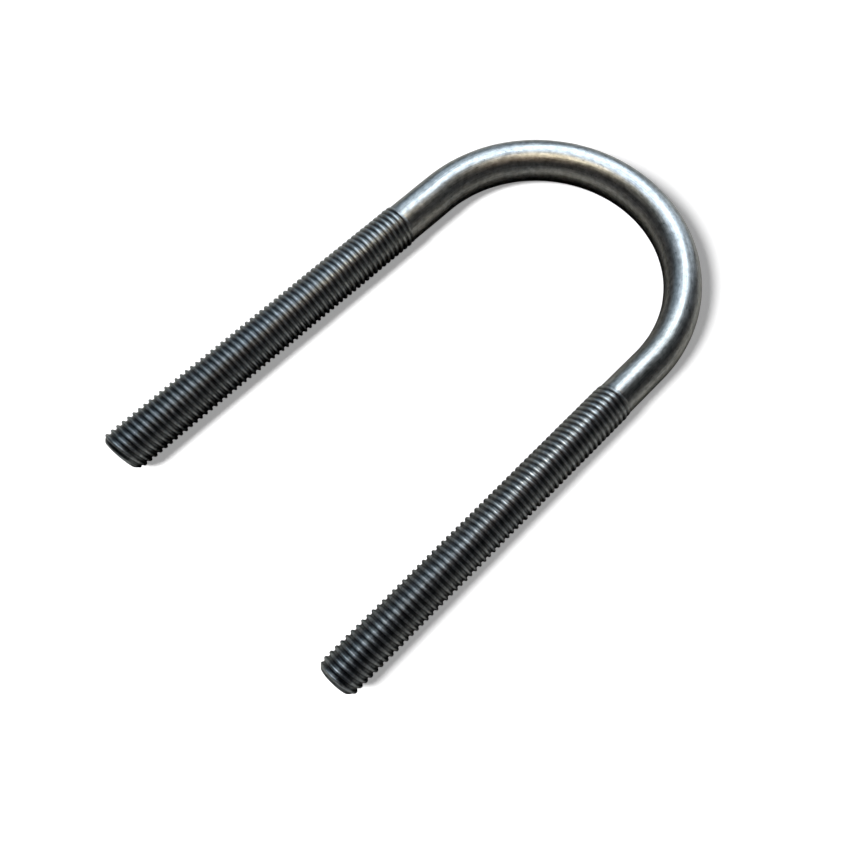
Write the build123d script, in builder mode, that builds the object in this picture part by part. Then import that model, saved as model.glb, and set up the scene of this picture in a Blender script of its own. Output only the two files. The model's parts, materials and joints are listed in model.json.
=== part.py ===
from build123d import *
from math import radians, tan
import os

# A U-bolt: one round steel bar, bent once into a U, with a thread on both legs.
# The origin is the centre of the bend, on the middle plane of the bar. The bow lies
# towards +Y, the legs point to -Y, and +Z goes through the thickness of the bar.

# Thread of the legs: M12 coarse, as rings with the thread's pitch, flank angle and depth
thread_diameter = 12.0
thread_pitch = 1.75
depth_over_pitch = 0.6134
flank_angle = 30.0
thread_turns = 60
runout_turns = 2
end_chamfer = 1.4

# Bar and bend
shank_diameter = 11.2
inside_width = 74.0
straight_length = 120.0

# Worked out from the dimensions above
shank_radius = shank_diameter / 2
leg_offset = (inside_width + shank_diameter) / 2
plain_length = straight_length - thread_turns * thread_pitch
crest_radius = thread_diameter / 2
thread_depth = depth_over_pitch * thread_pitch
flank_slope = tan(radians(flank_angle))
crest_flat = thread_pitch / 8
root_flat = thread_pitch - crest_flat - 2 * thread_depth * flank_slope


def thread_outline(leg_x):
    """Corners of the half section of one threaded leg, from the plain bar to its end."""
    thread_top = -plain_length
    shoulder_top = thread_top + crest_radius - shank_radius
    corners = [(leg_x, shoulder_top), (leg_x + shank_radius, shoulder_top)]
    corners.append((leg_x + crest_radius, thread_top))
    for turn in range(thread_turns):
        # The grooves next to the plain bar run out, so they are shallower
        depth = thread_depth * min(1, (turn + 1) / (runout_turns + 1))
        mouth = root_flat / 2 + depth * flank_slope
        middle = thread_top - (turn + 0.5) * thread_pitch
        corners.append((leg_x + crest_radius, middle + mouth))
        corners.append((leg_x + crest_radius - depth, middle + root_flat / 2))
        corners.append((leg_x + crest_radius - depth, middle - root_flat / 2))
        corners.append((leg_x + crest_radius, middle - mouth))
    corners.append((leg_x + crest_radius, -straight_length))
    corners.append((leg_x, -straight_length))
    return corners


def chamfer_outline(leg_x):
    """Half section of the ring that is taken off the sharp edge of a leg's end."""
    inner = leg_x + crest_radius - end_chamfer
    outer = leg_x + crest_radius + end_chamfer
    tip = -straight_length - end_chamfer
    rise = -straight_length + 2 * end_chamfer
    return [(inner, -straight_length), (outer, rise), (outer, tip), (inner, tip)]


with BuildPart() as u_bolt:
    # Plain bar: the bow and the short plain stretch at the top of each leg
    with BuildLine() as bar_line:
        Line((-leg_offset, -plain_length), (-leg_offset, 0))
        ThreePointArc((-leg_offset, 0), (0, leg_offset), (leg_offset, 0))
        Line((leg_offset, 0), (leg_offset, -plain_length))
    with BuildSketch(Plane(origin=(-leg_offset, -plain_length, 0), z_dir=(0, 1, 0))):
        Circle(shank_radius)
    sweep()

    # Threaded legs, each turned about its own centre line, and their chamfered ends
    for leg_x in (-leg_offset, leg_offset):
        leg_axis = Axis((leg_x, 0, 0), (0, 1, 0))
        with BuildSketch():
            with BuildLine():
                Polyline(*thread_outline(leg_x), close=True)
            make_face()
        revolve(axis=leg_axis)
        with BuildSketch():
            with BuildLine():
                Polyline(*chamfer_outline(leg_x), close=True)
            make_face()
        revolve(axis=leg_axis, mode=Mode.SUBTRACT)

u_bolt.part.label = "u_bolt"

os.makedirs("parts", exist_ok=True)
export_step(u_bolt.part, "parts/u_bolt.step")
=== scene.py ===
import bpy
import json
import math
import numpy as np
from mathutils import Matrix, Vector


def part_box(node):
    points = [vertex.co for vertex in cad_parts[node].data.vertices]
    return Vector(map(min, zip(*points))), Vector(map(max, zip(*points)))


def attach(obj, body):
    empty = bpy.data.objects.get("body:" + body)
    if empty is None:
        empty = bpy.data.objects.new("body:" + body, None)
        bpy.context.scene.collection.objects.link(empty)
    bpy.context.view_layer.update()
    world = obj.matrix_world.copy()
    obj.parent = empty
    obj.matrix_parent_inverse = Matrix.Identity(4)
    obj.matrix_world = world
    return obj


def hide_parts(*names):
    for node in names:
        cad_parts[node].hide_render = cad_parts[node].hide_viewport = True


# A steel U-bolt lying on a pale floor. The CAD model gives the sizes. This script cuts the real
# helical threads, gives the steel its surface, and lights it like a close-up on a table.

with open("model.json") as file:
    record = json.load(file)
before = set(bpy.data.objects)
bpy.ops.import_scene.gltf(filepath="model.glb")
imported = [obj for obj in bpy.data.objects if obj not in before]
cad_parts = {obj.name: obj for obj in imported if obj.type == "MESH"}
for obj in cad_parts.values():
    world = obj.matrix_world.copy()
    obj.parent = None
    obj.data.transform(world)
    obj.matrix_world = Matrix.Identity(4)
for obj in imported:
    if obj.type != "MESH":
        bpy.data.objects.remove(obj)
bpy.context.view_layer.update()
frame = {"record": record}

MM = 0.001

# Sizes that come from the CAD model
low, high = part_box("u_bolt")
mounts = {mount["name"]: mount for mount in frame["record"]["mounts"]}
LEG_OFFSET = mounts["studs"]["dims"]["spacing_x_mm"] * MM / 2
LEG_LENGTH = -low.y
BAR_RADIUS = high.y - LEG_OFFSET
CREST_RADIUS = high.z
BEND_LENGTH = math.pi * LEG_OFFSET
BEND_END = LEG_LENGTH + BEND_LENGTH
BOLT_LENGTH = 2 * LEG_LENGTH + BEND_LENGTH

# Thread: M12 coarse, rolled. The crest's half width is in turns, its rounding in thread depths
PITCH = 1.75 * MM
THREAD_DEPTH = 0.64 * MM
ROOT_RADIUS = CREST_RADIUS - THREAD_DEPTH
FLANK_ANGLE = math.radians(30)
CREST_HALF_WIDTH = 0.13
CREST_ROUNDING = 0.3
LEFT_THREAD = 104.8 * MM
RIGHT_THREAD = 106.2 * MM
RIGHT_THREAD_START = BOLT_LENGTH - RIGHT_THREAD
RUNOUT = 1.6 * PITCH

# Chamfered tips, and the rings of their sawn end faces as shares of the edge's radius
TIP_CHAMFER = 1.35 * MM
TIP_RADIUS = CREST_RADIUS - TIP_CHAMFER
TIP_ROUNDING = 0.25 * MM
FACE_RINGS = (0.94, 0.7, 0.4, 0.15)
RIM_STEP = 0.02 * MM
FACE_STEP = 0.06 * MM
FACE_MIDDLE_STEP = 0.08 * MM
DEEPEST_DENT = 0.035 * MM
FACE_GROOVE_SHARE = 0.25
FACE_SEED = 11

# Unevenness of the crests and of the plain bar: a sum of waves that run round and along the bar
CREST_WEAR = 0.03 * MM
BAR_WEAR = 0.02 * MM
WAVE_COUNT = 12
MOST_LOBES = 4
SHORTEST_WAVE = 4 * MM
LONGEST_WAVE = 40 * MM
WAVE_SUM_SCALE = 5
CREST_SEED = 3
BAR_SEED = 5

# Mesh density, with the rows of a thread in turns from a crest's middle (0) to a root's middle (0.5)
AROUND = 72
BEND_RINGS = 150
PLAIN_RING_GAP = 1.2 * MM
MERGE_GAP = 0.02 * MM
PROFILE_PLACES = (0, 0.04, 0.08, 0.12, 0.16, 0.29, 0.33, 0.37, 0.41, 0.5)

# Steel
STEEL_IOR = 2.5
ROUGHNESS = 0.28
MOTTLE_ROUGHNESS = 0.14
THREAD_POLISH = 0.04
RELIEF_STRENGTH = 0.35
RELIEF_HEIGHT = 0.02 * MM
GRAIN_RELIEF = 0.5
SCRATCH_RELIEF = 0.5
MOTTLE_RELIEF = 0.6

# Floor, and the table that the steel mirrors
FLOOR_SIZE = 6.0
FLOOR_GAP = 0.05 * MM
FLOOR_WHITE = (0.8, 0.8, 0.8, 1)
TABLE_SIZE = 1.6
TABLE_COLOR = (0.95, 0.87, 0.76, 1)
TABLE_GLOW = 0.03
TABLE_SHADE_REACH = 30 * MM
TABLE_SHADE_SAMPLES = 8

# Lights: the room's face the middle, a place inside the bend
BEND_MIDDLE = Vector((0, LEG_OFFSET * 0.6, 0))
SHADOW_LAMP_PLACE = Vector((-62, -440, 440)) * MM
SHADOW_LAMP_RADIUS = 100 * MM
SHADOW_LAMP_STRENGTH = 62.0

# Camera: a wide lens close above the bolt. The sensor and lens are in millimetres
CAMERA_PLACE = Vector((72.17, -90.75, 151.49)) * MM
CAMERA_TARGET = Vector((46.78, -58.95, 0)) * MM
CAMERA_ROLL = math.radians(5.053)
SENSOR_WIDTH = 36
LENS = 25.04
SHIFT_X, SHIFT_Y = -0.1095, 0.1104
NEAREST_SEEN, FARTHEST_SEEN = 0.005, 20


# ---------------------------------------------------------------- bar and thread

def centre_line(distance):
    """Centre, inward direction and forward direction of the bar, at distances from the left tip."""
    past_bend = distance - LEG_LENGTH - BEND_LENGTH
    turn = np.clip((distance - LEG_LENGTH) / LEG_OFFSET, 0, math.pi)
    flat = np.zeros_like(distance)
    inward = np.stack([np.cos(turn), -np.sin(turn), flat], -1)
    forward = np.stack([np.sin(turn), np.cos(turn), flat], -1)
    along = np.where(past_bend > 0, past_bend, np.minimum(distance - LEG_LENGTH, 0))
    centre = -LEG_OFFSET * inward + forward * along[..., None]
    return centre, inward, forward


def ripple(angle, distance, seed):
    """Smooth random unevenness between about -1 and 1, which closes round the bar."""
    random = np.random.default_rng(seed)
    total = np.zeros_like(angle + distance)
    for _ in range(WAVE_COUNT):
        lobes = random.integers(0, MOST_LOBES + 1)
        wave = random.uniform(SHORTEST_WAVE, LONGEST_WAVE)
        start = random.uniform(0, 2 * math.pi)
        total += np.cos(lobes * angle + 2 * math.pi * distance / wave + start)
    return total / WAVE_SUM_SCALE


def worn_down(radius, wear, angle, distance, seed):
    """A radius that dips unevenly, by up to twice the wear, and never stands proud."""
    return radius - wear * (1 + ripple(angle, distance, seed)).clip(0, 2)


def soft_min(a, b, blend):
    """The smaller of two values, with the corner between them rounded."""
    mix = np.clip(0.5 + (b - a) / (2 * blend), 0, 1)
    return b + (a - b) * mix - blend * mix * (1 - mix)


def thread_height(turns):
    """Height of the thread over its root, 0 to 1: a 60 degree V with rounded crest and root."""
    from_crest = np.abs(turns - np.round(turns))
    slope = PITCH / (THREAD_DEPTH * math.tan(FLANK_ANGLE))
    flank = 1 - (from_crest - CREST_HALF_WIDTH) * slope
    under_crest = soft_min(flank, 1.0, CREST_ROUNDING)
    return -soft_min(-under_crest, 0.0, CREST_ROUNDING)


def bar_radius(distance, angle):
    """Radius of the bolt's surface, how deep it lies in a groove and how far it is threaded (0 to 1)."""
    from_tip = np.minimum(distance, BOLT_LENGTH - distance)
    thread_end = np.where(distance < BOLT_LENGTH / 2, LEFT_THREAD, RIGHT_THREAD)
    fade = np.clip((thread_end - from_tip) / RUNOUT, 0, 1)
    fade = fade * fade * (3 - 2 * fade)
    height = thread_height(distance / PITCH - angle / (2 * math.pi))
    crest = worn_down(CREST_RADIUS, CREST_WEAR, angle, distance, CREST_SEED)
    thread = ROOT_RADIUS + (crest - ROOT_RADIUS) * height
    plain = worn_down(BAR_RADIUS, BAR_WEAR, angle, distance, BAR_SEED)
    radius = plain + (thread - plain) * fade
    radius = soft_min(radius, TIP_RADIUS + from_tip, TIP_ROUNDING)
    return radius, fade * (1 - height), fade


class Grid:
    """Collects the bolt's vertices as (distance, angle) pairs, and its faces."""

    def __init__(self):
        self.places = []
        self.faces = []

    def point(self, distance, step):
        self.places.append((distance, 2 * math.pi * step / AROUND))
        return len(self.places) - 1

    def ring(self, distance):
        return [self.point(distance, step) for step in range(AROUND)]

    def band(self, first, second):
        for step in range(AROUND):
            after = (step + 1) % AROUND
            self.faces.append((first[step], first[after], second[after], second[step]))

    def helix_row(self, place, first, second, start, stop):
        """One row along the thread. Its points past either ring become that ring's points."""
        row = []
        for step in range(AROUND):
            distance = (place + step / AROUND) * PITCH
            if distance < start + MERGE_GAP:
                row.append(first[step])
            elif distance > stop - MERGE_GAP:
                row.append(second[step])
            else:
                row.append(self.point(distance, step))
        return row

    def helix(self, first, second, start, stop):
        """Rows that follow the thread, between a ring at start and a ring at stop."""
        places = list(PROFILE_PLACES) + [1 - place for place in PROFILE_PLACES[-2:0:-1]]
        rows = []
        for turn in range(math.floor(start / PITCH) - 1, math.ceil(stop / PITCH) + 1):
            rows += [self.helix_row(turn + place, first, second, start, stop) for place in places]
        last = len(rows) - 1
        for number in range(last):
            # After its last column, a row goes on in the first column of the row one turn further
            here, above = list(rows[number]), list(rows[number + 1])
            here.append(rows[min(number + len(places), last)][0])
            above.append(rows[min(number + 1 + len(places), last)][0])
            for step in range(AROUND):
                corners = (here[step], here[step + 1], above[step + 1], above[step])
                unique = tuple(dict.fromkeys(corners))
                if len(unique) > 2:
                    self.faces.append(unique)


class Surface:
    """The bolt's points in space, with the values that its finish needs, and its faces."""

    def __init__(self, grid):
        distance, angle = np.array(grid.places).T
        radius, groove, threaded = bar_radius(distance, angle)
        centre, inward, self.forward = centre_line(distance)
        outward = np.cos(angle)[:, None] * np.array([0, 0, 1]) + np.sin(angle)[:, None] * inward
        straight = np.stack([radius * np.cos(angle), radius * np.sin(angle), distance], -1)
        self.points = list(centre + radius[:, None] * outward)
        self.straight = list(straight)
        self.groove, self.threaded = list(groove), list(threaded)
        self.faces = grid.faces

    def add(self, point, straight):
        """Adds a point of an end face, which has the thread's finish and is a little darker, like a point a
        quarter way down a groove.
        """
        self.points.append(point)
        self.straight.append(straight)
        self.groove.append(FACE_GROOVE_SHARE)
        self.threaded.append(1.0)
        return len(self.points) - 1

    def add_face(self, corners, side):
        self.faces.append(corners if side > 0 else corners[::-1])

    def close_tip(self, edge, side, random):
        """Sawn end face: rings that step in to a middle point, slightly uneven."""
        middle = sum(self.points[corner] for corner in edge) / AROUND
        inner_way = self.forward[edge[0]] * side
        outer = edge
        for share in FACE_RINGS:
            step_in = RIM_STEP if share == FACE_RINGS[0] else FACE_STEP
            ring = []
            for corner in edge:
                dent = random.uniform(0, DEEPEST_DENT) + step_in
                point = middle + (self.points[corner] - middle) * share + inner_way * dent
                ring.append(self.add(point, self.straight[corner] * np.array([share, share, 1])))
            for step in range(AROUND):
                after = (step + 1) % AROUND
                self.add_face((outer[after], outer[step], ring[step], ring[after]), side)
            outer = ring
        on_axis = self.straight[edge[0]] * np.array([0, 0, 1])
        centre = self.add(middle + inner_way * FACE_MIDDLE_STEP, on_axis)
        for step in range(AROUND):
            self.add_face((outer[(step + 1) % AROUND], outer[step], centre), side)

    def mesh(self, name):
        mesh = bpy.data.meshes.new(name)
        mesh.from_pydata([tuple(point) for point in self.points], [], self.faces)
        # Where each point would lie if the bar were straight, so that the grain follows the bend
        space = mesh.attributes.new("straight_bar", "FLOAT_VECTOR", "POINT")
        space.data.foreach_set("vector", np.array(self.straight, np.float32).ravel())
        for value_name, values in (("groove", self.groove), ("threaded", self.threaded)):
            attribute = mesh.attributes.new(value_name, "FLOAT", "POINT")
            attribute.data.foreach_set("value", np.array(values, np.float32))
        mesh.shade_smooth()
        mesh.validate()
        return mesh


def build_bolt():
    """One closed mesh: tip, thread, plain bar, bend, plain bar, thread, tip."""
    grid = Grid()
    left_tip, left_end = grid.ring(0), grid.ring(LEFT_THREAD)
    right_end, right_tip = grid.ring(RIGHT_THREAD_START), grid.ring(BOLT_LENGTH)
    grid.helix(left_tip, left_end, 0, LEFT_THREAD)
    stops = list(np.arange(LEFT_THREAD, LEG_LENGTH, PLAIN_RING_GAP)[1:])
    stops += list(np.linspace(LEG_LENGTH, BEND_END, BEND_RINGS))
    stops += list(np.arange(BEND_END, RIGHT_THREAD_START, PLAIN_RING_GAP)[1:])
    rings = [left_end] + [grid.ring(stop) for stop in stops] + [right_end]
    for first, second in zip(rings, rings[1:]):
        grid.band(first, second)
    grid.helix(right_end, right_tip, RIGHT_THREAD_START, BOLT_LENGTH)

    surface = Surface(grid)
    random = np.random.default_rng(FACE_SEED)
    surface.close_tip(left_tip, 1, random)
    surface.close_tip(right_tip, -1, random)
    return surface.mesh("threaded_u_bolt")


# ---------------------------------------------------------------- shader nodes

def node(tree, kind, **values):
    """Adds a node and sets its properties, and its inputs where a value's name starts with in_."""
    made = tree.nodes.new(kind)
    for name, value in values.items():
        if name.startswith("in_"):
            made.inputs[name.removeprefix("in_")].default_value = value
        else:
            setattr(made, name, value)
    return made


def fill(tree, socket, value):
    """Links a socket to another node's output, or gives it a fixed value."""
    if isinstance(value, bpy.types.NodeSocket):
        tree.links.new(value, socket)
    else:
        socket.default_value = value


def ramp(tree, source, *stops):
    """A colour ramp with stops of (place, grey or colour)."""
    made = tree.nodes.new("ShaderNodeValToRGB")
    elements = made.color_ramp.elements
    while len(elements) < len(stops):
        elements.new(0.5)
    for element, (place, value) in zip(elements, stops):
        element.position = place
        element.color = (*value, 1) if isinstance(value, tuple) else (value, value, value, 1)
    tree.links.new(source, made.inputs["Fac"])
    return made.outputs["Color"]


def noise(tree, coordinates, stretch, scale, detail, rough):
    """Noise in the straightened bar's space; stretch is (across, across, along)."""
    mapping = node(tree, "ShaderNodeMapping", in_Scale=stretch)
    tree.links.new(coordinates, mapping.inputs["Vector"])
    made = node(tree, "ShaderNodeTexNoise", in_Scale=scale, in_Detail=detail, in_Roughness=rough)
    tree.links.new(mapping.outputs[0], made.inputs["Vector"])
    return made.outputs["Fac"]


def multiply_colors(tree, first, second):
    made = node(tree, "ShaderNodeMix", data_type="RGBA", blend_type="MULTIPLY")
    # A colour mix takes its factor in input 0 and its two colours in inputs 6 and 7
    for socket, value in ((0, 1.0), (6, first), (7, second)):
        fill(tree, made.inputs[socket], value)
    return made.outputs[2]


def multiply_add(tree, first, second, added):
    made = node(tree, "ShaderNodeMath", operation="MULTIPLY_ADD")
    for socket, value in enumerate((first, second, added)):
        fill(tree, made.inputs[socket], value)
    return made.outputs[0]


def add_shaders(tree, first, second):
    both = node(tree, "ShaderNodeAddShader")
    tree.links.new(first.outputs[0], both.inputs[0])
    tree.links.new(second.outputs[0], both.inputs[1])
    return both.outputs[0]


# ---------------------------------------------------------------- steel

def bright_steel():
    """Drawn steel bar: fine lengthwise grain, mottling and pits, cooler threads with dark roots."""
    material = bpy.data.materials.new("bright_steel")
    material.use_nodes = True
    tree = material.node_tree
    shader = tree.nodes["Principled BSDF"]
    shader.inputs["Metallic"].default_value = 1.0
    shader.inputs["IOR"].default_value = STEEL_IOR

    space = node(tree, "ShaderNodeAttribute", attribute_name="straight_bar").outputs["Vector"]
    groove = node(tree, "ShaderNodeAttribute", attribute_name="groove").outputs["Fac"]
    threaded = node(tree, "ShaderNodeAttribute", attribute_name="threaded").outputs["Fac"]

    # Long streaks for the grain and scratches, rounder spots for the rest
    grain = noise(tree, space, (1, 1, 0.03), 2600, 3.0, 0.6)
    scratches = noise(tree, space, (1, 1, 0.012), 900, 2.0, 0.5)
    mottle = noise(tree, space, (1, 1, 0.6), 900, 4.0, 0.6)
    clouds = noise(tree, space, (1, 1, 0.5), 70, 3.0, 0.5)
    specks = noise(tree, space, (1, 1, 0.8), 1500, 2.0, 0.7)

    # Colour: faint warm and cool patches, under layers that only darken
    color = ramp(tree, clouds, (0.3, (0.65, 0.665, 0.69)), (0.7, (0.71, 0.7, 0.68)))
    shade = ramp(tree, mottle, (0.34, 0.6), (0.62, 1.0))
    lines = ramp(tree, grain, (0.35, 0.7), (0.62, 1.0))
    pits = ramp(tree, specks, (0.26, 0.45), (0.36, 1.0))
    rolled = ramp(tree, threaded, (0.0, 0.84), (1.0, (0.93, 0.965, 1.0)))
    # Darker towards the thread roots: full colour near the crest, down to 0.35 of it deep in the groove
    root_darkening = ramp(tree, groove, (0.15, 1.0), (0.8, 0.35))
    for layer in (shade, lines, pits, rolled, root_darkening):
        color = multiply_colors(tree, color, layer)
    tree.links.new(color, shader.inputs["Base Color"])

    # Roughness: satin, rougher in the mottling, smoother where the thread was rolled
    rough = multiply_add(tree, mottle, MOTTLE_ROUGHNESS, ROUGHNESS)
    rough = multiply_add(tree, threaded, -THREAD_POLISH, rough)
    tree.links.new(rough, shader.inputs["Roughness"])

    # Relief: drawing lines along the bar and a fine grainy skin
    relief = multiply_add(tree, grain, GRAIN_RELIEF, 0.0)
    relief = multiply_add(tree, scratches, SCRATCH_RELIEF, relief)
    relief = multiply_add(tree, mottle, MOTTLE_RELIEF, relief)
    bump = node(tree, "ShaderNodeBump", in_Strength=RELIEF_STRENGTH, in_Distance=RELIEF_HEIGHT)
    tree.links.new(relief, bump.inputs["Height"])
    tree.links.new(bump.outputs[0], shader.inputs["Normal"])
    return material


# ---------------------------------------------------------------- floor and room

def build_plane(name, size, height, shader):
    """A square staging plane with one shader, which isn't part of the object."""
    half = size / 2
    mesh = bpy.data.meshes.new(name)
    corners = [(-half, -half, height), (half, -half, height), (half, half, height), (-half, half, height)]
    mesh.from_pydata(corners, [], [(0, 1, 2, 3)])
    plane = bpy.data.objects.new(name, mesh)
    bpy.context.scene.collection.objects.link(plane)
    material = bpy.data.materials.new(name)
    material.use_nodes = True
    tree = material.node_tree
    tree.nodes.clear()
    output = node(tree, "ShaderNodeOutputMaterial")
    tree.links.new(shader(tree), output.inputs[0])
    mesh.materials.append(material)
    return plane


def pale_shader(tree):
    """White surface that stays pale grey in the shadow, and plain white out to the horizon."""
    white = node(tree, "ShaderNodeBsdfDiffuse", in_Color=FLOOR_WHITE)
    place = node(tree, "ShaderNodeTexCoord")
    reach = node(tree, "ShaderNodeVectorMath", operation="LENGTH")
    tree.links.new(place.outputs["Object"], reach.inputs[0])
    # Its glow rises with the distance from the bolt: each stop is (metres, glow)
    glow = ramp(tree, reach.outputs["Value"], (0.25, 0.32), (0.8, 1.0))
    lift = node(tree, "ShaderNodeEmission")
    tree.links.new(glow, lift.inputs["Color"])
    return add_shaders(tree, white, lift)


def table_shader(tree):
    """Warm grey table top with a faint glow of its own, and painted shade that darkens it close to the
    bolt.
    """
    # Painted shade: ambient occlusion darkens the table's colour within reach of the bolt
    near = node(tree, "ShaderNodeAmbientOcclusion", in_Distance=TABLE_SHADE_REACH)
    near.samples = TABLE_SHADE_SAMPLES
    shade = ramp(tree, near.outputs["AO"], (0.76, 0.0), (0.9, 0.4), (0.98, 1.0))
    color = multiply_colors(tree, TABLE_COLOR, shade)
    diffuse = node(tree, "ShaderNodeBsdfDiffuse")
    tree.links.new(color, diffuse.inputs["Color"])
    glow = node(tree, "ShaderNodeEmission", in_Strength=TABLE_GLOW)
    tree.links.new(color, glow.inputs["Color"])
    return add_shaders(tree, diffuse, glow)


def build_floor():
    """The pale floor that the camera sees, and the grey table that the steel mirrors instead of it,
    so that the bar keeps the dark lower edge it has on a table: the table's cast and painted shade."""
    floor = build_plane("floor", FLOOR_SIZE, low.z - FLOOR_GAP, pale_shader)
    floor.visible_glossy = False
    table = build_plane("mirrored_table", TABLE_SIZE, low.z, table_shader)
    table.visible_camera = table.visible_shadow = table.visible_diffuse = False
    return floor


def build_world():
    """Dim room for the steel to mirror: grey walls near the horizon, dark overhead. The camera sees
    white past the floor."""
    world = bpy.data.worlds.new("room")
    bpy.context.scene.world = world
    world.use_nodes = True
    tree = world.node_tree
    tree.nodes.clear()
    ray = node(tree, "ShaderNodeTexCoord")
    parts = node(tree, "ShaderNodeSeparateXYZ")
    tree.links.new(ray.outputs["Generated"], parts.inputs[0])
    walls = ramp(tree, parts.outputs["Z"], (0.0, (0.2, 0.19, 0.175)), (0.14, (0.12, 0.118, 0.115)),
                 (0.35, (0.012, 0.014, 0.018)), (1.0, (0.006, 0.007, 0.008)))
    dim = node(tree, "ShaderNodeBackground")
    tree.links.new(walls, dim.inputs[0])
    white = node(tree, "ShaderNodeBackground", in_Color=(1, 1, 1, 1))
    path = node(tree, "ShaderNodeLightPath")
    choice = node(tree, "ShaderNodeMixShader")
    output = node(tree, "ShaderNodeOutputWorld")
    tree.links.new(path.outputs["Is Camera Ray"], choice.inputs[0])
    tree.links.new(dim.outputs[0], choice.inputs[1])
    tree.links.new(white.outputs[0], choice.inputs[2])
    tree.links.new(choice.outputs[0], output.inputs[0])


# ---------------------------------------------------------------- lights and camera

def look_from(place, target, roll=0.0):
    """Placement of a camera or light that stands at place and looks at target."""
    view = (target - place).to_track_quat("-Z", "Y").to_matrix()
    return Matrix.Translation(place) @ (view @ Matrix.Rotation(roll, 3, "Z")).to_4x4()


def direction(tilt, heading):
    """Unit vector tilted from straight up by tilt degrees, towards heading degrees left of +Y."""
    tilt, heading = math.radians(tilt), math.radians(heading)
    return Vector((-math.sin(tilt) * math.sin(heading), math.sin(tilt) * math.cos(heading), math.cos(tilt)))


def soft_box(name, tilt, heading, distance, width, height, glow, color):
    """A rectangular area light of a given glow (radiance), facing the bend."""
    light = bpy.data.lights.new(name, "AREA")
    light.shape = "RECTANGLE"
    light.size, light.size_y = width, height
    light.energy = glow * math.pi * width * height
    light.color = color
    lamp = bpy.data.objects.new(name, light)
    bpy.context.scene.collection.objects.link(lamp)
    lamp.matrix_world = look_from(BEND_MIDDLE + direction(tilt, heading) * distance, BEND_MIDDLE)
    return lamp


def floor_collection(name, floor):
    """A collection that holds only the floor, for the lamps that light it or leave it out."""
    collection = bpy.data.collections.new(name)
    collection.objects.link(floor)
    return collection


def build_shadow_lamp(floor):
    """Lamp that throws the soft shadow on the pale floor, and lights nothing else. Its light doesn't
    weaken with distance."""
    light = bpy.data.lights.new("shadow_lamp", "POINT")
    light.energy = 1.0
    light.shadow_soft_size = SHADOW_LAMP_RADIUS
    light.use_nodes = True
    tree = light.node_tree
    even = node(tree, "ShaderNodeLightFalloff", in_Strength=SHADOW_LAMP_STRENGTH)
    tree.links.new(even.outputs["Constant"], tree.nodes["Emission"].inputs["Strength"])
    lamp = bpy.data.objects.new("shadow_lamp", light)
    bpy.context.scene.collection.objects.link(lamp)
    lamp.location = SHADOW_LAMP_PLACE
    lamp.light_linking.receiver_collection = floor_collection("lit_by_shadow_lamp", floor)


def build_room_lights(floor):
    """Windows, wall and ceiling lamps that the steel mirrors. They don't light the floor."""
    # Name, tilt and heading in degrees, distance, width and height in metres, glow, colour
    room = [
        soft_box("window", 38, 31, 0.6, 0.28, 0.28, 4.2, (0.84, 0.94, 1.0)),
        soft_box("window_top", 54, 22, 0.6, 0.2, 0.24, 1.3, (0.72, 0.88, 1.0)),
        soft_box("skylight", 17, 58, 0.6, 0.26, 0.2, 3.5, (0.72, 0.86, 1.0)),
        soft_box("window_left", 54, 62, 0.6, 0.18, 0.2, 1.2, (0.72, 0.88, 1.0)),
        soft_box("window_right", 70, 3, 0.6, 0.18, 0.22, 1.8, (0.8, 0.92, 1.0)),
        soft_box("bright_wall", 46, 55, 0.7, 0.8, 0.7, 0.4, (0.6, 0.82, 1.0)),
        soft_box("ceiling_lamp", 9, 145, 0.152, 0.034, 0.034, 9.8, (1.0, 0.87, 0.62)),
        soft_box("ceiling", 20, -132, 0.2, 0.07, 0.07, 0.6, (1.0, 0.66, 0.4)),
    ]
    not_floor = floor_collection("not_lit_by_room_lights", floor)
    not_floor.collection_objects[0].light_linking.link_state = "EXCLUDE"
    for lamp in room:
        lamp.light_linking.receiver_collection = not_floor


def build_camera():
    """The view's centre lies off the lens axis, so the lens is shifted."""
    camera = bpy.data.cameras.new("camera")
    camera.sensor_width = SENSOR_WIDTH
    camera.lens = LENS
    camera.shift_x, camera.shift_y = SHIFT_X, SHIFT_Y
    camera.clip_start, camera.clip_end = NEAREST_SEEN, FARTHEST_SEEN
    view = bpy.data.objects.new("camera", camera)
    bpy.context.scene.collection.objects.link(view)
    view.matrix_world = look_from(CAMERA_PLACE, CAMERA_TARGET, CAMERA_ROLL)
    bpy.context.scene.camera = view


bolt = bpy.data.objects.new("threaded_u_bolt", build_bolt())
bpy.context.scene.collection.objects.link(bolt)
bolt.data.materials.append(bright_steel())
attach(bolt, "root")
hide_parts("u_bolt")

floor = build_floor()
build_world()
build_shadow_lamp(floor)
build_room_lights(floor)
build_camera()
bpy.context.scene.view_settings.view_transform = "Standard"
